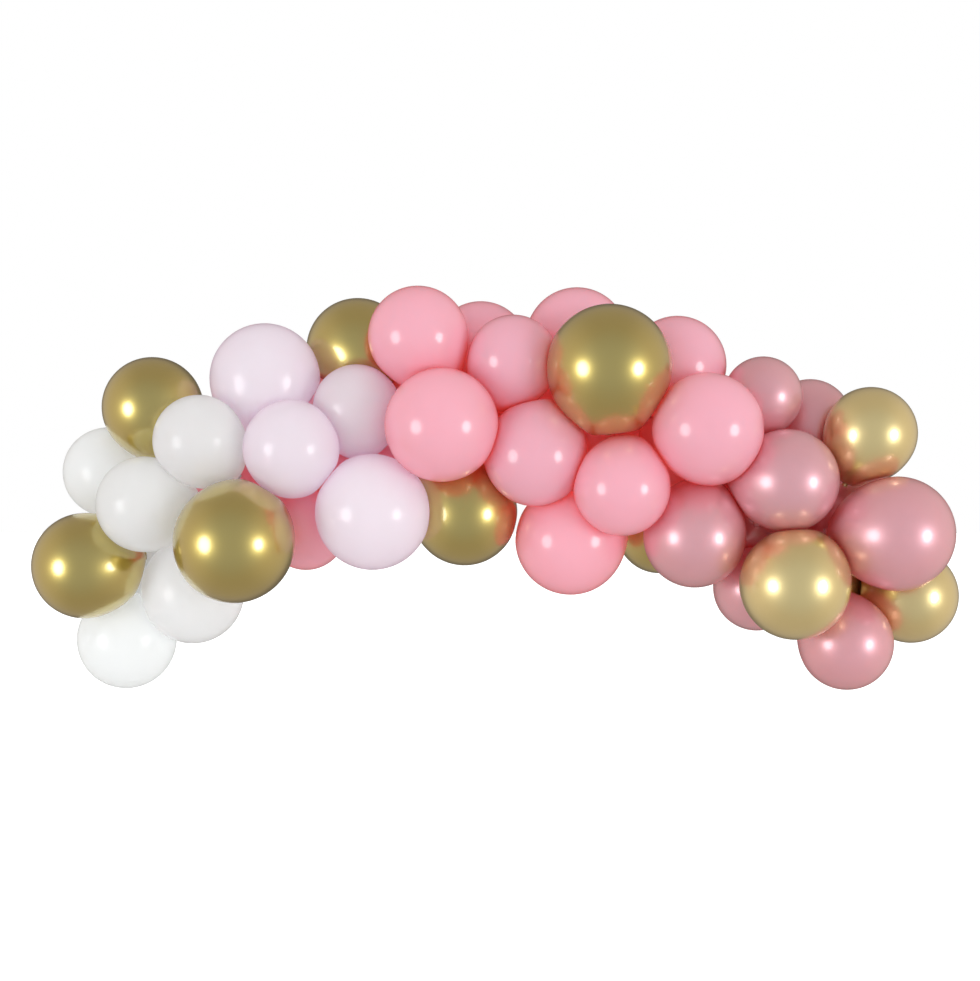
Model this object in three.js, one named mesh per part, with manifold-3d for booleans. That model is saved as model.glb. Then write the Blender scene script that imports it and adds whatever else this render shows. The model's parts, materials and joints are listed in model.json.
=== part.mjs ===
// A balloon garland: a bow of round latex balloons in white, blush, pink, dusty rose, gold and champagne,
// packed so closely that each one is pressed a little flat against the next.
// Millimetres, +Z up. The viewer stands at -Y, and the wall that the garland hangs on is the plane y = 0.
// The origin is on that wall, at the crown of the bow, where the middle back balloon is pressed flat.

import * as THREE from 'three';
import { mergeVertices } from 'three/addons/utils/BufferGeometryUtils.js';
import Module from 'manifold-3d';

// The bow
const BOW_RADIUS = 1000;      // radius of the arc that the garland follows
const CORE_OUT = 200;         // distance from the wall to the middle of the garland, where the necks meet
const CORE_RISE = 45;         // height of that middle above the bow's line

// The balloons
const WALL_PRESS = 6;         // how far a balloon that touches the wall is pressed in
const SKIN_GAP = 0.4;         // clear space between two pressed skins
const FLAT_ROUNDING = 0.05;   // rounding between a pressed flat and the round skin, in balloon radii
const PEAR = 0.17;            // how much the skin draws out towards the neck, in balloon radii
const PEAR_POWER = 3;
const NECK = 0.11;            // height of the neck and its knot above the pear, in balloon radii
const NECK_POWER = 24;
const NECK_LEAN_BACK = 0.35;  // how far a neck that points to an hour leans away, where its row doesn't say
const NECK_LEANS = [15, 30];  // degrees that a hidden neck may lean off the way to the core to find room
const NECK_TURN = 30;         // degrees between the directions that it tries round that way

// The facets
const FACET_SPLITS = 2;       // extra splits of each edge of the icosahedron
const FACET_EASE = 1.008;     // corners stand this much outside the round skin, so that the facets straddle it
const MERGE_WITHIN = 0.0001;

const ON_WALL = null;         // stands for the distance of a balloon that touches the wall
const HOURS = 12;
const FULL_TURN = 360;

// Each row is one balloon as seen from the front: how far it sits along the bow from the crown, how far above
// the bow's line, how far its middle is from the wall, and its diameter. A fifth number is the hour of the
// clock face that the neck points to, for a balloon whose drawn-out side shows, and a sixth is how far that
// neck leans away from the viewer.
const FRONT = {
  white: [
    [-760, 265, ON_WALL, 200],
    [-990, -10, ON_WALL, 220, 0.4],
    [-730, 135, 280, 205, 3],
    [-802, -66, 155, 224, 10.8],
    [-575, 170, 300, 195],
  ],
  blush: [
    [-425, 230, 200, 240],
    [-425, 60, 320, 205],
    [-280, 95, 255, 190],
    [-310, -130, 300, 245],
  ],
  pink: [
    [-490, -105, 160, 180],
    [-140, 220, 265, 215],
    [-115, 20, 350, 240],
    [-30, 190, 120, 215],
    [30, 155, 280, 195],
    [85, -45, 300, 220],
    [205, -215, 220, 240],
    [145, 225, 150, 225],
    [290, -80, 340, 205],
    [330, 215, 200, 215],
    [415, 100, 350, 235],
  ],
  rose: [
    [500, -115, 270, 220],
    [715, -125, 155, 190],
    [490, 225, 235, 170],
    [605, 90, 300, 220, 9],
    [595, 245, 120, 185],
    [950, -65, 215, 205, 11],
    [830, 160, 290, 245, 9],
  ],
  gold: [
    [-900, 145, 215, 230, 2.7, 0.1],
    [-620, 300, 185, 220, 5],
    [-625, -55, 360, 255],
    [-255, 230, ON_WALL, 230],
    [-85, -170, 215, 230],
    [205, 160, 350, 265, 6],
    [435, -135, ON_WALL, 190],
  ],
  champagne: [
    [750, -75, 330, 235],
    [680, 285, 245, 200, 6.85, 0.1],
    [960, 120, 140, 210, 9.5],
  ],
};

// The back row lies along the bow against the wall: colour, place along the bow, height above its line and
// diameter.
const BACK = [
  ['white', -822, 58, 184],
  ['pink', -620, 55, 230],
  ['pink', -396, 91, 260],
  ['gold', -300, -150, 180],
  ['pink', -202, 25, 236],
  ['pink', 0, 0, 228],
  ['pink', 185, 40, 255],
  ['pink', 400, 60, 225],
  ['rose', 605, 35, 240],
  ['rose', 780, 135, 212],
  ['champagne', 845, -10, 170],
];

// Latex finishes: plain gloss for white, blush and pink, pearly for rose, mirror-like for gold and champagne.
const FINISHES = {
  white: { color: 0xf1f3f2, roughness: 0.3, metalness: 0 },
  blush: { color: 0xf1dce6, roughness: 0.3, metalness: 0 },
  pink: { color: 0xfba9bc, roughness: 0.3, metalness: 0 },
  rose: { color: 0xd59aa2, roughness: 0.28, metalness: 0.35 },
  gold: { color: 0xae965a, roughness: 0.2, metalness: 1 },
  champagne: { color: 0xcbb980, roughness: 0.24, metalness: 1 },
};

const manifold = await Module();
manifold.setup();

// A point of the garland's middle layer, from its place along the bow and above the bow's line
function onBow(along, above, out) {
  const angle = along / BOW_RADIUS;
  const reach = BOW_RADIUS + above;
  return new THREE.Vector3(reach * Math.sin(angle), -out, reach * Math.cos(angle) - BOW_RADIUS);
}

function makeBalloon(name, finish, along, above, out, size, clock, lean = NECK_LEAN_BACK) {
  const radius = size / 2;
  const touchesWall = out === ON_WALL;
  const middle = onBow(along, above, touchesWall ? radius - WALL_PRESS : out);
  return { name, finish, along, radius, touchesWall, middle, clock, lean };
}

function listBalloons() {
  const balloons = [];
  for (const [finish, rows] of Object.entries(FRONT)) {
    rows.forEach((row, index) => {
      const name = `${finish}_balloon_${String(index + 1).padStart(2, '0')}`;
      balloons.push(makeBalloon(name, finish, ...row));
    });
  }
  BACK.forEach(([finish, along, above, size], index) => {
    const name = `back_balloon_${String(index + 1).padStart(2, '0')}`;
    balloons.push(makeBalloon(name, finish, along, above, ON_WALL, size));
  });
  return balloons;
}

// The flats that a balloon's neighbours press into it. Two pressed skins meet on the plane where both round
// skins would cross, so that every balloon keeps to its own side.
function flatsOf(balloon, balloons) {
  return balloons.filter((other) => other !== balloon).map((other) => {
    const towards = other.middle.clone().sub(balloon.middle);
    const span = towards.length();
    const crossing = (span ** 2 + balloon.radius ** 2 - other.radius ** 2) / (2 * span);
    return { facing: towards.divideScalar(span), distance: crossing - SKIN_GAP / 2 };
  });
}

// How far the balloon could reach in one direction before it meets a neighbour
function freeReach(flats, direction) {
  let reach = Infinity;
  for (const { facing, distance } of flats) {
    const share = direction.dot(facing);
    if (share > 0) reach = Math.min(reach, distance / share);
  }
  return reach;
}

// The neck points to its hour where that shows, and else into the widest gap near the garland's core
function neckOf(balloon, flats) {
  if (balloon.clock !== undefined) {
    const angle = (balloon.clock / HOURS) * 2 * Math.PI;
    return new THREE.Vector3(Math.sin(angle), balloon.lean, Math.cos(angle)).normalize();
  }
  const core = onBow(balloon.along, CORE_RISE, CORE_OUT).sub(balloon.middle).normalize();
  const side = new THREE.Vector3(0, 0, 1).cross(core).normalize();
  let best = core;
  let widest = freeReach(flats, core);
  for (const lean of NECK_LEANS) {
    for (let turn = 0; turn < FULL_TURN; turn += NECK_TURN) {
      const axis = side.clone().applyAxisAngle(core, THREE.MathUtils.degToRad(turn));
      const direction = core.clone().applyAxisAngle(axis, THREE.MathUtils.degToRad(lean));
      const reach = freeReach(flats, direction);
      if (reach > widest) {
        best = direction;
        widest = reach;
      }
    }
  }
  return best;
}

// The smaller of two lengths, with the corner between them rounded over the given width
function roundedMin(a, b, width) {
  const nearness = Math.max(width - Math.abs(a - b), 0) / width;
  return Math.min(a, b) - (nearness ** 2 * width) / 4;
}

// Distance from the balloon's middle to its skin: round, drawn out into a pear and a neck on one side, and
// flat where a neighbour presses in
function skinReach(balloon, direction) {
  const { radius, neck, flats } = balloon;
  const towardsNeck = Math.max(0, direction.dot(neck));
  const drawnOut = PEAR * towardsNeck ** PEAR_POWER + NECK * towardsNeck ** NECK_POWER;
  let reach = radius * (FACET_EASE + drawnOut);
  for (const { facing, distance } of flats) {
    const share = direction.dot(facing);
    if (share > 0) reach = roundedMin(reach, distance / share, FLAT_ROUNDING * radius);
  }
  return reach;
}

function onlyPositions(geometry) {
  geometry.deleteAttribute('normal');
  geometry.deleteAttribute('uv');
  return mergeVertices(geometry, MERGE_WITHIN);
}

function toSolid(geometry) {
  const mesh = new manifold.Mesh({
    numProp: 3,
    vertProperties: new Float32Array(geometry.getAttribute('position').array),
    triVerts: new Uint32Array(geometry.getIndex().array),
  });
  return new manifold.Manifold(mesh);
}

function toGeometry(solid) {
  const { vertProperties, triVerts } = solid.getMesh();
  const geometry = new THREE.BufferGeometry();
  geometry.setAttribute('position', new THREE.BufferAttribute(vertProperties, 3));
  geometry.setIndex(new THREE.BufferAttribute(triVerts, 1));
  return geometry;
}

// The balloon's skin round its own middle, with one corner of the facets on the neck
function skinGeometry(balloon) {
  const geometry = onlyPositions(new THREE.IcosahedronGeometry(1, FACET_SPLITS));
  const corners = geometry.getAttribute('position');
  const corner = new THREE.Vector3().fromBufferAttribute(corners, 0).normalize();
  const turn = new THREE.Quaternion().setFromUnitVectors(corner, balloon.neck);
  for (let index = 0; index < corners.count; index += 1) {
    corner.fromBufferAttribute(corners, index).normalize().applyQuaternion(turn);
    corner.multiplyScalar(skinReach(balloon, corner));
    corners.setXYZ(index, corner.x, corner.y, corner.z);
  }
  return geometry;
}

// The flat where the balloon is pressed on the wall: what would stand behind the wall is cut away
function pressOnWall(geometry, balloon) {
  const size = 4 * balloon.radius;
  const behind = onlyPositions(new THREE.BoxGeometry(size, size, size));
  behind.translate(0, -balloon.middle.y + size / 2, 0);
  return toGeometry(toSolid(geometry).subtract(toSolid(behind)));
}

function balloonMesh(balloon) {
  let geometry = skinGeometry(balloon);
  if (balloon.touchesWall) geometry = pressOnWall(geometry, balloon);
  const mesh = new THREE.Mesh(geometry, new THREE.MeshStandardMaterial(FINISHES[balloon.finish]));
  mesh.name = balloon.name;
  mesh.position.copy(balloon.middle);
  return mesh;
}

const garland = new THREE.Group();
const balloons = listBalloons();
for (const balloon of balloons) {
  balloon.flats = flatsOf(balloon, balloons);
  balloon.neck = neckOf(balloon, balloon.flats);
  garland.add(balloonMesh(balloon));
}

export default garland;
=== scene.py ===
# A balloon garland: round latex balloons in white, blush, pink, dusty rose, gold and champagne, pressed
# together in a bow that hangs on a wall. Metres, +Z up. The viewer stands at -Y, and the wall is the plane
# y = 0.

import json
import math

import bpy
import numpy as np
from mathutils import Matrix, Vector


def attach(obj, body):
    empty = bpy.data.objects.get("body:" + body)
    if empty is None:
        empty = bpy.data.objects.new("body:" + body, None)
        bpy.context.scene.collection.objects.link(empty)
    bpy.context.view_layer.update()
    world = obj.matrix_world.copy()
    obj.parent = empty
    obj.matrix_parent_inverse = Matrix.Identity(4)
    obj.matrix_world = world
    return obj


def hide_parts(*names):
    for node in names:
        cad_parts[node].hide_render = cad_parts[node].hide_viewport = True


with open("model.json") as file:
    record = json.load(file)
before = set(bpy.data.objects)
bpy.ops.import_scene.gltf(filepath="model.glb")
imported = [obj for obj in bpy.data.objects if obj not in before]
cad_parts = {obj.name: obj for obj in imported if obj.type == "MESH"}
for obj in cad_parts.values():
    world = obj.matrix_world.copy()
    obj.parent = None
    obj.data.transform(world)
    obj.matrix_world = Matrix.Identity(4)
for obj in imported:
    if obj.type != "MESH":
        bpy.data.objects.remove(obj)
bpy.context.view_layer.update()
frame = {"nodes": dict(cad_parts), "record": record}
scene = bpy.context.scene


# The camera
# It stands in front of the garland, level with its middle, and looks straight at the wall through a long
# lens.
CAMERA_PLACE = (-0.0151, -4.25, -0.1247)
LENS_MM = 67.96

camera = bpy.data.objects.new("camera", bpy.data.cameras.new("camera"))
camera.data.lens = LENS_MM
camera.location = CAMERA_PLACE
camera.rotation_euler = (math.radians(90), 0, 0)
scene.collection.objects.link(camera)
scene.camera = camera
scene.view_settings.view_transform = "Standard"


class Wire:
    """One output of a node. Sums and products on it add Math nodes to the same tree."""

    def __init__(self, tree, socket=None):
        self.tree = tree
        self.socket = socket

    def node(self, kind, sockets=None, output=0, points=(), **settings):
        """Adds any node: its settings come first, then the values or links of its sockets."""
        added = self.tree.nodes.new(kind)
        for name, value in settings.items():
            setattr(added, name, value)
        if points:
            curve = added.mapping.curves[0]
            for place, height in points[1:-1]:
                curve.points.new(place, height)
            curve.points[0].location = points[0]
            curve.points[-1].location = points[-1]
            added.mapping.update()
        for name, value in (sockets or {}).items():
            if isinstance(value, Wire):
                self.tree.links.new(value.socket, added.inputs[name])
            else:
                added.inputs[name].default_value = value
        return Wire(self.tree, added.outputs[output]) if added.outputs else added

    def maths(self, operation, *values):
        return self.node("ShaderNodeMath", dict(enumerate(values)), operation=operation)

    def vectors(self, operation, *values, output=0):
        return self.node("ShaderNodeVectorMath", dict(enumerate(values)), output, operation=operation)

    def times(self, length):
        """This direction made that long."""
        return self.node("ShaderNodeVectorMath", {0: self, "Scale": length}, operation="SCALE")

    def dot(self, other):
        return self.vectors("DOT_PRODUCT", self, other, output="Value")

    def blend(self, first, second):
        """The first colour where this number is 0, the second where it is 1."""
        return self.node("ShaderNodeMix", {0: self, 6: first, 7: second}, 2, data_type="RGBA")

    def ease(self, low, high):
        """0 where this number is under low, 1 where it is over high, and a smooth step between."""
        sockets = {"Value": self, "From Min": low, "From Max": high}
        return self.node("ShaderNodeMapRange", sockets, interpolation_type="SMOOTHSTEP")

    def axis(self, letter):
        return self.node("ShaderNodeSeparateXYZ", {0: self}, letter)

    def __add__(self, other):
        return self.maths("ADD", self, other)

    def __radd__(self, other):
        return self.maths("ADD", other, self)

    def __sub__(self, other):
        return self.maths("SUBTRACT", self, other)

    def __rsub__(self, other):
        return self.maths("SUBTRACT", other, self)

    def __mul__(self, other):
        return self.maths("MULTIPLY", self, other)

    def __rmul__(self, other):
        return self.maths("MULTIPLY", other, self)

    def __truediv__(self, other):
        return self.maths("DIVIDE", self, other)

    def __pow__(self, other):
        return self.maths("POWER", self, other)


# The studio light
# Two soft boxes stand left and right, a little lower than the garland, and each shows as a small highlight
# on every balloon. The room shows in the skins as grey, a little warmer away from the front and darkest
# behind. It lights them more than it shows in them, most of all from overhead, as the white screens round a
# studio do. The camera sees plain white behind the garland.
SOFT_BOXES = ((-1, 3.2, 5.8), (1, 2.6, 8.0))   # the side each stands on, its width and its radiance
BOX_TALLER = 1.1             # how much taller a box is than it is wide
BOX_AWAY = 8.0
BOX_SIDE = math.radians(50)
BOX_HEIGHT = -0.62
FRONT_LIGHT = 0.50
SIDE_LIGHT = 0.68
CEILING_LIGHT = 0.45
GROUND_LIGHT = 0.46
BACKDROP_LIGHT = 0.42
SIDE_FADE = (0.3, 1.0)       # how far round to a side or the back its own light begins, and where it is full
HEIGHT_FADE = (0.3, 0.9)     # the same for the ceiling and the ground
SCREEN_LIGHT = 1.76          # how much more light the room gives than its mirror image shows
OVERHEAD_SCREEN = 0.28       # light that the screens add from overhead
GROUND_SHADE = 0.13          # light that is missing from below
LEFT_SHADE = 0.32            # light that is missing from the left
LEFT_FADE = (0.2, 0.9)
BACKDROP_SHADE = 0.65        # how much darker the backdrop's middle is in its mirror image
BACKDROP_FADE = (0.65, 0.95)
WARM_TINT = (1.0, 0.88, 0.76, 1)
WARM_FADE = (0.9, 0.2)       # how squarely in front the warm tint begins, and where it is full
PLAIN_TINT = (1, 1, 1, 1)

for side, width, radiance in SOFT_BOXES:
    box = bpy.data.objects.new("soft_box", bpy.data.lights.new("soft_box", "AREA"))
    box.data.shape = "ELLIPSE"
    box.data.size = width
    box.data.size_y = width * BOX_TALLER
    box.data.energy = radiance * math.pi * math.pi / 4 * box.data.size * box.data.size_y
    box.visible_camera = False
    box.location = (side * BOX_AWAY * math.sin(BOX_SIDE), -BOX_AWAY * math.cos(BOX_SIDE), BOX_HEIGHT)
    box.rotation_euler = (-Vector(box.location)).to_track_quat("-Z", "Y").to_euler()
    scene.collection.objects.link(box)

scene.world = bpy.data.worlds.new("room")
scene.world.use_nodes = True
scene.world.node_tree.nodes.clear()
room = Wire(scene.world.node_tree)
way = room.node("ShaderNodeTexCoord", output="Generated")
right = way.axis("X")
back = way.axis("Y")
up = way.axis("Z")
overhead = up.ease(*HEIGHT_FADE)
below = (0 - up).ease(*HEIGHT_FADE)
glow = FRONT_LIGHT + (SIDE_LIGHT - FRONT_LIGHT) * right.maths("ABSOLUTE", right).ease(*SIDE_FADE)
glow = glow + (CEILING_LIGHT - FRONT_LIGHT) * overhead
glow = glow + (GROUND_LIGHT - FRONT_LIGHT) * below
glow = glow + (BACKDROP_LIGHT - FRONT_LIGHT) * back.ease(*SIDE_FADE)
seen = room.node("ShaderNodeLightPath", output="Is Camera Ray")
lighting = room.node("ShaderNodeLightPath", output="Is Diffuse Ray")
mirrored = 1 - lighting
screens = OVERHEAD_SCREEN * overhead - GROUND_SHADE * below - LEFT_SHADE * (0 - right).ease(*LEFT_FADE)
glow = glow * (1 + (SCREEN_LIGHT - 1) * lighting) + screens * lighting
glow = glow * (1 - BACKDROP_SHADE * back.ease(*BACKDROP_FADE) * mirrored)
brightness = seen.node("ShaderNodeMix", {0: seen, 2: glow, 3: 1.0})
warmth = (0 - back).ease(*WARM_FADE) * mirrored * (1 - seen)
tint = warmth.blend(PLAIN_TINT, WARM_TINT)
air = room.node("ShaderNodeBackground", {"Color": tint, "Strength": brightness})
room.node("ShaderNodeOutputWorld", {"Surface": air})


# The floor
# A plain white studio floor, well below the garland. Only the camera sees it, so it throws no light up.
FLOOR_HEIGHT = -1.6
FLOOR_HALF = 60.0
FLOOR_WHITE = (0.9, 0.9, 0.9, 1)
FLOOR_ROUGHNESS = 0.9
FLOOR_GLOW = 0.55

floor_mesh = bpy.data.meshes.new("floor")
corners = [(x * FLOOR_HALF, y * FLOOR_HALF, FLOOR_HEIGHT) for x, y in ((-1, -1), (1, -1), (1, 1), (-1, 1))]
floor_mesh.from_pydata(corners, [], [range(len(corners))])
floor = bpy.data.objects.new("floor", floor_mesh)
floor.visible_glossy = False
floor.visible_diffuse = False
floor.visible_shadow = False
scene.collection.objects.link(floor)
floor_paint = bpy.data.materials.new("floor_paint")
floor_paint.use_nodes = True
paint = floor_paint.node_tree.nodes["Principled BSDF"].inputs
paint["Base Color"].default_value = FLOOR_WHITE
paint["Roughness"].default_value = FLOOR_ROUGHNESS
paint["Emission Color"].default_value = (1, 1, 1, 1)
paint["Emission Strength"].default_value = FLOOR_GLOW
floor_mesh.materials.append(floor_paint)


# The round skins
# Each solid has its corners on a sphere, but for those drawn out into the neck or pressed flat. The
# balloon's middle and radius are those of the sphere that most of its corners lie on.
CORNER_EASE = 1.008       # the corners stand this much outside the round skin
CORNER_MISS = 0.0001      # how far a corner may lie off a sphere and still count as on it
LARGEST_RADIUS = 0.2
FLATTEST_PICK = 2e-7      # four corners whose edges span a smaller box, in cubic metres, give no good sphere
PICKS = 3000
PICK_SEED = 5


def sphere_through(points):
    """Middle and radius of the sphere that lies nearest to the points, for one set of points or many."""
    system = np.concatenate([2 * points, np.ones_like(points[..., :1])], axis=-1)
    squares = (points**2).sum(-1)[..., None]
    sides = np.swapaxes(system, -1, -2)
    found = np.linalg.solve(sides @ system, sides @ squares)[..., 0]
    middle = found[..., :3]
    return middle, np.sqrt(np.maximum(found[..., 3] + (middle**2).sum(-1), 0))


def round_skin(node):
    """The corners of a balloon's solid, and the middle and radius of its round skin."""
    corners = np.unique(np.round([vertex.co for vertex in node.data.vertices], 6), axis=0)
    draw = np.random.default_rng(PICK_SEED)
    picks = corners[draw.integers(len(corners), size=(PICKS, 4))]
    edges = picks[:, 1:] - picks[:, :1]
    picks = picks[np.abs(np.linalg.det(edges)) > FLATTEST_PICK]
    middles, radii = sphere_through(picks)
    misses = np.abs(np.linalg.norm(corners - middles[:, None], axis=2) - radii[:, None])
    hits = (misses < CORNER_MISS) & (radii < LARGEST_RADIUS)[:, None]
    middle, radius = sphere_through(corners[hits[hits.sum(1).argmax()]])
    return corners, middle, radius / CORNER_EASE


balloons = {}
for name, node in sorted(frame["nodes"].items()):
    corners, middle, radius = round_skin(node)
    balloons[name] = {"corners": corners, "middle": middle, "radius": radius}


# The pressed flats
# Where two balloons meet they press each other flat, on the plane where both round skins would cross. A
# balloon that reaches the wall is pressed on it too. A press is the point of such a plane nearest the
# balloon's middle.
SKIN_GAP = 0.0004
PEAR = 0.17               # how much the skin draws out towards the neck, in balloon radii
NECK = 0.11               # how far the neck and its knot stand out of that, in balloon radii
PEAR_POWER = 3
NECK_POWER = 24
LEAST_SHARE = 1e-6        # stands for none, where a press faces away


def presses_on(name):
    """The presses on one balloon, as seen from its middle."""
    middle, radius = balloons[name]["middle"], balloons[name]["radius"]
    found = []
    for other in balloons:
        if other == name:
            continue
        towards = balloons[other]["middle"] - middle
        span = np.linalg.norm(towards)
        crossing = (span**2 + radius**2 - balloons[other]["radius"] ** 2) / (2 * span) - SKIN_GAP / 2
        found.append(towards / span * crossing)
    if middle[1] + radius > 0:
        found.append(np.array([0, -middle[1], 0]))
    return [press for press in found if np.linalg.norm(press) < radius * (1 + PEAR + NECK)]


def free_reach(presses, ways):
    """How far a balloon could reach each way before it meets a press."""
    reach = np.full(len(ways), np.inf)
    for press in presses:
        share = np.maximum(ways @ press, LEAST_SHARE)
        reach = np.minimum(reach, press @ press / share)
    return reach


def neck_way(balloon):
    """The neck is at the corner from which the drawn-out skin matches all the corners best."""
    away = balloon["corners"] - balloon["middle"]
    reaches = np.linalg.norm(away, axis=1)
    ways = away / reaches[:, None]
    closeness = np.maximum(ways @ ways.T, 0)
    drawn_out = PEAR * closeness**PEAR_POWER + NECK * closeness**NECK_POWER
    drawn_out = balloon["radius"] * (CORNER_EASE + drawn_out)
    expected = np.minimum(drawn_out, free_reach(balloon["presses"], ways))
    return ways[np.abs(expected - reaches).sum(1).argmin()]


for name, balloon in balloons.items():
    balloon["presses"] = presses_on(name)
    balloon["neck"] = neck_way(balloon)


# One inflated balloon
# A round skin of stretched latex, drawn out a little into a pear towards its neck, with the neck tied in a
# knot below its rolled lip. The skin is flat wherever a neighbour or the wall presses on it.
RINGS_TO_NECK = 1.5       # how much closer the rings lie near the neck
NECK_BASE = 0.13          # angle from the neck's middle at which the neck rises out of the skin
NECK_MIDDLE = 0.01        # share of that angle within which all counts as the neck's middle
PRESS_ROUNDING = 0.08     # rounding between a flat and the round skin, in balloon radii
TAPER_SHARE = 0.5         # share of the neck's height that is a smooth taper; the knot and lip are the rest
LIP_TO_SKIN = (0, 0.1, 0.22, 0.34, 0.48, 0.62, 0.8, 1)   # share of the neck's base angle from its middle out
LIP_TO_SKIN_WIDTHS = (0, 0.42, 0.54, 0.34, 0.5, 0.36, 0.45, 1)
LIP_TO_SKIN_HEIGHTS = (0.86, 0.98, 0.93, 0.72, 0.55, 0.3, 0.1, 0)

skin_tree = bpy.data.node_groups.new("inflated_balloon", "GeometryNodeTree")
SKIN_INPUTS = {
    "Presses": "Geometry",
    "Middle": "Vector",
    "Radius": "Float",
    "Pear": "Float",
    "Taper": "Float",
    "Rounding": "Float",
    "Neck Way": "Vector",
    "Neck Length": "Float",
    "Segments": "Int",
    "Rings": "Int",
    "Latex": "Material",
}
skin_sockets = {}
for label, kind in SKIN_INPUTS.items():
    socket = skin_tree.interface.new_socket(label, in_out="INPUT", socket_type="NodeSocket" + kind)
    skin_sockets[label] = socket.identifier
skin_tree.interface.new_socket("Balloon", in_out="OUTPUT", socket_type="NodeSocketGeometry")
skin = Wire(skin_tree)
given = {label: skin.node("NodeGroupInput", output=label) for label in SKIN_INPUTS}

ball_sockets = {"Segments": given["Segments"], "Rings": given["Rings"], "Radius": 1.0}
ball = skin.node("GeometryNodeMeshUVSphere", ball_sockets)
place = skin.node("GeometryNodeInputPosition")
turn = (place.axis("Z").maths("ARCCOSINE", place.axis("Z")) / math.pi) ** RINGS_TO_NECK * math.pi
level = place.vectors("MULTIPLY", place, (1, 1, 0))
round_way = level.vectors("NORMALIZE", level).times(turn.maths("SINE", turn))
upright = skin.node("ShaderNodeCombineXYZ", {"Z": turn.maths("COSINE", turn)})
to_neck = skin.node("FunctionNodeAlignRotationToVector", {"Vector": given["Neck Way"]}, axis="Z")
ways = round_way.vectors("ADD", round_way, upright)
ways = skin.node("FunctionNodeRotateVector", {"Vector": ways, "Rotation": to_neck})
closeness = turn.maths("MAXIMUM", turn.maths("COSINE", turn), 0.0)
drawn_out = given["Pear"] * closeness**PEAR_POWER + given["Taper"] * closeness**NECK_POWER
round_reach = given["Radius"] * (1 + drawn_out)

count = skin.node("GeometryNodeAttributeDomainSize", {"Geometry": given["Presses"]}, "Point Count")
press_in = skin_tree.nodes.new("GeometryNodeRepeatInput")
press_out = skin_tree.nodes.new("GeometryNodeRepeatOutput")
press_in.pair_with_output(press_out)
press_out.repeat_items.clear()
press_out.repeat_items.new("FLOAT", "Reach")
skin_tree.links.new(count.socket, press_in.inputs["Iterations"])
skin_tree.links.new(round_reach.socket, press_in.inputs["Reach"])
number = Wire(skin_tree, press_in.outputs["Iteration"])
reach_before = Wire(skin_tree, press_in.outputs["Reach"])
press_sockets = {"Geometry": given["Presses"], "Value": place, "Index": number}
press = skin.node("GeometryNodeSampleIndex", press_sockets, data_type="FLOAT_VECTOR")
share = ways.dot(press)
flat_reach = press.dot(press) / share.maths("MAXIMUM", share, LEAST_SHARE)
rounding = given["Rounding"] * given["Radius"]
pressed_reach = reach_before.maths("SMOOTH_MIN", reach_before, flat_reach, rounding)
skin_tree.links.new(pressed_reach.socket, press_out.inputs["Reach"])
reach = Wire(skin_tree, press_out.outputs["Reach"])

up_the_neck = turn / NECK_BASE
up_the_neck = up_the_neck.maths("MINIMUM", up_the_neck, 1.0)
widths = list(zip(LIP_TO_SKIN, LIP_TO_SKIN_WIDTHS))
heights = list(zip(LIP_TO_SKIN, LIP_TO_SKIN_HEIGHTS))
width = skin.node("ShaderNodeFloatCurve", {"Value": up_the_neck}, points=widths)
height = skin.node("ShaderNodeFloatCurve", {"Value": up_the_neck}, points=heights)
narrowing = width / up_the_neck.maths("MAXIMUM", up_the_neck, NECK_MIDDLE)
on_skin = ways.times(reach)
along = on_skin.dot(given["Neck Way"])
outward = on_skin.vectors("SUBTRACT", on_skin, given["Neck Way"].times(along))
lifted = given["Neck Way"].times(along + given["Neck Length"] * height)
spot = outward.vectors("ADD", outward.times(narrowing), lifted)
spot = spot.vectors("ADD", spot, given["Middle"])
marks = {"Geometry": ball, "Name": "neckward", "Value": closeness}
marked = skin.node("GeometryNodeStoreNamedAttribute", marks, domain="POINT", data_type="FLOAT")
shaped = skin.node("GeometryNodeSetPosition", {"Geometry": marked, "Position": spot})
smooth = skin.node("GeometryNodeSetShadeSmooth", {"Geometry": shaped})
whole = skin.node("GeometryNodeRealizeInstances", {"Geometry": smooth})
dressed = skin.node("GeometryNodeSetMaterial", {"Geometry": whole, "Material": given["Latex"]})
skin.node("NodeGroupOutput", {"Balloon": dressed})

SEGMENTS, RINGS = 128, 80
BACK_SEGMENTS, BACK_RINGS = 96, 60
SLOTS = {part["node"]: part["material_slot"] for part in frame["record"]["subparts"]}


def inflate(name, latex):
    """Makes one balloon of this latex in the place of its solid."""
    balloon = balloons[name]
    at_back = name.startswith("back")
    radius = balloon["radius"]
    space = max(0.0, free_reach(balloon["presses"], balloon["neck"][None])[0] - radius * (1 + PEAR))
    knot = min(space, radius * NECK * (1 - TAPER_SHARE))
    taper = min(space - knot, radius * NECK * TAPER_SHARE)
    presses = bpy.data.meshes.new(name + "_presses")
    presses.from_pydata([list(press) for press in balloon["presses"]], [], [])
    maker = bpy.data.objects.new(name + "_maker", presses)
    scene.collection.objects.link(maker)
    blow = maker.modifiers.new("inflated_balloon", "NODES")
    blow.node_group = skin_tree
    sizes = {
        "Middle": balloon["middle"],
        "Radius": radius,
        "Pear": PEAR,
        "Taper": taper / radius,
        "Rounding": PRESS_ROUNDING,
        "Neck Way": balloon["neck"],
        "Neck Length": knot,
        "Segments": BACK_SEGMENTS if at_back else SEGMENTS,
        "Rings": BACK_RINGS if at_back else RINGS,
        "Latex": latex,
    }
    for label, value in sizes.items():
        blow[skin_sockets[label]] = value
    graph = bpy.context.evaluated_depsgraph_get()
    mesh = bpy.data.meshes.new_from_object(maker.evaluated_get(graph))
    bpy.data.objects.remove(maker)
    piece = bpy.data.objects.new(name + "_skin", mesh)
    scene.collection.objects.link(piece)
    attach(piece, "root")
    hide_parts(name)


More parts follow.
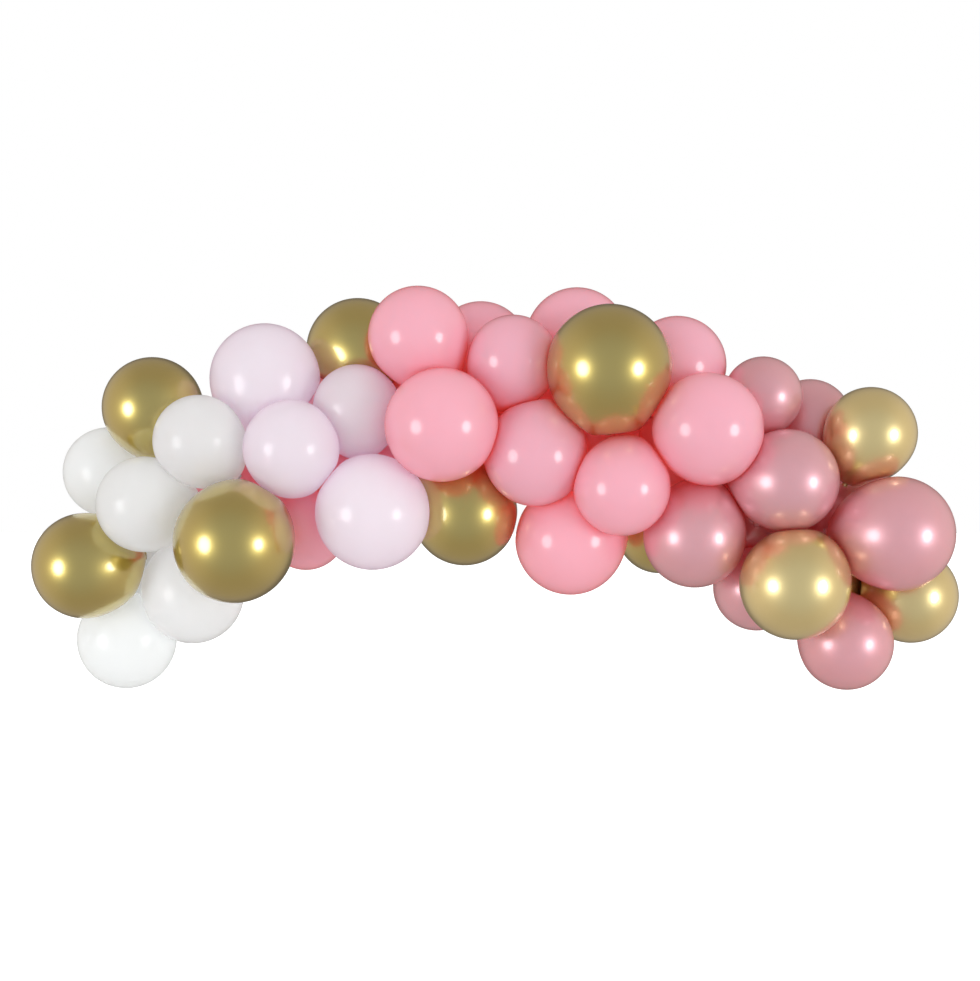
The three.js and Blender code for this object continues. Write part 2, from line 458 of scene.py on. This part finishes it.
def inflate_all(slot, latex):
    """Makes all the balloons of one slot."""
    for name in balloons:
        if SLOTS[name] == slot:
            inflate(name, latex)


# White balloons
# Six balloons of plain white latex, at the left end. Blown up to about two thirds of their full size, they
# are nearly opaque and softly glossy. Each is tied off in a knot and held by the balloons that it is
# pressed against.
WHITE = (0.935, 0.953, 0.96, 1)
WHITE_DEEP = (0.86, 0.85, 0.80, 1)
WHITE_THROUGH = (0.935, 0.947, 0.95, 1)
PLAIN_ROUGHNESS = 0.3
PLAIN_SURFACE = {
    "coat_roughness": 0.14,
    "cloud_scale": 14.0,
    "neck_depth": 0.6,
    "grain_scale": 900.0,
    "grain_detail": 2.0,
    "grain_strength": 0.02,
    "grain_height": 0.0001,
}
CLOUD_DETAIL = 3.0
CLOUD_DEPTH = 0.25           # how much of the deeper colour the clouds of thicker latex show
CLOUD_ROUGHNESS = 0.08       # how much rougher they are
NOISE_MIDDLE = 0.5
GATHERING = (0.75, 1.0)      # how near to the neck the latex begins to gather, and where it is deepest


def new_latex(name, surface, stretched, gathered, roughness, gloss, metallic=0, through=None, clearness=0):
    """Latex that is paler where it is stretched round and deeper where it gathers at the neck.

    Its clearness is the share of the light that shines through it, in a colour of its own.
    """
    material = bpy.data.materials.new(name)
    material.use_nodes = True
    tree = material.node_tree
    shader = tree.nodes["Principled BSDF"]
    shader.inputs["Metallic"].default_value = metallic
    shader.inputs["Coat Weight"].default_value = 1.0
    shader.inputs["Coat IOR"].default_value = gloss
    shader.inputs["Coat Roughness"].default_value = surface["coat_roughness"]
    wire = Wire(tree)
    place = wire.node("ShaderNodeTexCoord", output="Object")
    neckward = wire.node("ShaderNodeAttribute", output="Fac", attribute_name="neckward")
    cloud_sockets = {"Vector": place, "Scale": surface["cloud_scale"], "Detail": CLOUD_DETAIL}
    clouds = wire.node("ShaderNodeTexNoise", cloud_sockets) - NOISE_MIDDLE
    grain_sockets = {"Vector": place, "Scale": surface["grain_scale"], "Detail": surface["grain_detail"]}
    grain = wire.node("ShaderNodeTexNoise", grain_sockets)
    depth = neckward.ease(*GATHERING) * surface["neck_depth"] + clouds * CLOUD_DEPTH
    colour = depth.maths("MAXIMUM", depth, 0.0).blend(stretched, gathered)
    tree.links.new(colour.socket, shader.inputs["Base Color"])
    tree.links.new((roughness + clouds * CLOUD_ROUGHNESS).socket, shader.inputs["Roughness"])
    bump_sockets = {"Height": grain}
    bump_sockets["Strength"] = surface["grain_strength"]
    bump_sockets["Distance"] = surface["grain_height"]
    tree.links.new(wire.node("ShaderNodeBump", bump_sockets).socket, shader.inputs["Normal"])
    if clearness:
        shining = wire.node("ShaderNodeBsdfTranslucent", {"Color": through})
        mixed = wire.node("ShaderNodeMixShader", {0: clearness, 1: Wire(tree, shader.outputs[0]), 2: shining})
        tree.links.new(mixed.socket, tree.nodes["Material Output"].inputs["Surface"])
    return material


white_latex = new_latex(
    "white_latex",
    PLAIN_SURFACE,
    WHITE,
    WHITE_DEEP,
    PLAIN_ROUGHNESS,
    gloss=1.4,
    through=WHITE_THROUGH,
    clearness=0.55,
)
inflate_all("white_latex", white_latex)


# Blush balloons
# Four balloons of very pale pink latex, next to the white ones and tied and held as they are. The light that
# shines through them is pinker than their skin.
BLUSH = (0.94, 1.0, 1.0, 1)
BLUSH_DEEP = (0.85, 0.60, 0.68, 1)
BLUSH_THROUGH = (0.98, 0.83, 0.95, 1)

blush_latex = new_latex(
    "blush_latex",
    PLAIN_SURFACE,
    BLUSH,
    BLUSH_DEEP,
    PLAIN_ROUGHNESS,
    gloss=1.5,
    through=BLUSH_THROUGH,
    clearness=0.5,
)
inflate_all("blush_latex", blush_latex)


# Pink balloons
# Seventeen balloons of plain pink latex, the middle of the bow and most of its back row, tied and held as
# the others are. They let warm red light through, which collects in the depths between them.
PINK = (1.0, 0.655, 0.82, 1)
PINK_DEEP = (0.90, 0.24, 0.34, 1)
PINK_THROUGH = (1.0, 0.34, 0.27, 1)

pink_latex = new_latex(
    "pink_latex",
    PLAIN_SURFACE,
    PINK,
    PINK_DEEP,
    PLAIN_ROUGHNESS,
    gloss=1.65,
    through=PINK_THROUGH,
    clearness=0.42,
)
inflate_all("pink_latex", pink_latex)


# Rose balloons
# Nine balloons of dusty rose latex with pearl powder in it, towards the right end, tied and held as the
# others are. The powder gives them a soft metallic shine, and they still let a little red light through.
ROSE = (0.90, 0.53, 0.60, 1)
ROSE_DEEP = (0.5, 0.16, 0.19, 1)
ROSE_THROUGH = (0.95, 0.25, 0.22, 1)
METAL_SURFACE = {
    "coat_roughness": 0.15,
    "cloud_scale": 18.0,
    "neck_depth": 0.5,
    "grain_scale": 11.0,
    "grain_detail": 1.0,
    "grain_strength": 0.15,
    "grain_height": 0.001,
}

rose_latex = new_latex(
    "rose_latex",
    METAL_SURFACE,
    ROSE,
    ROSE_DEEP,
    roughness=0.36,
    gloss=1.5,
    metallic=0.45,
    through=ROSE_THROUGH,
    clearness=0.25,
)
inflate_all("rose_latex", rose_latex)


# Gold balloons
# Eight balloons of latex with a mirror-like gold finish, spread along the bow and tied and held as the
# others are. They are opaque, and their neighbours show in them.
GOLD = (0.58, 0.465, 0.12, 1)
GOLD_DEEP = (0.5, 0.33, 0.1, 1)

gold_latex = new_latex(
    "gold_latex",
    METAL_SURFACE,
    GOLD,
    GOLD_DEEP,
    roughness=0.33,
    gloss=1.9,
    metallic=1.0,
)
inflate_all("gold_latex", gold_latex)


# Champagne balloons
# Four balloons at the right end, with the same mirror-like finish in a paler gold. They are tied and held
# as the others are.
CHAMPAGNE = (0.85, 0.70, 0.32, 1)
CHAMPAGNE_DEEP = (0.55, 0.4, 0.16, 1)

champagne_latex = new_latex(
    "champagne_latex",
    METAL_SURFACE,
    CHAMPAGNE,
    CHAMPAGNE_DEEP,
    roughness=0.34,
    gloss=1.8,
    metallic=0.85,
)
inflate_all("champagne_latex", champagne_latex)
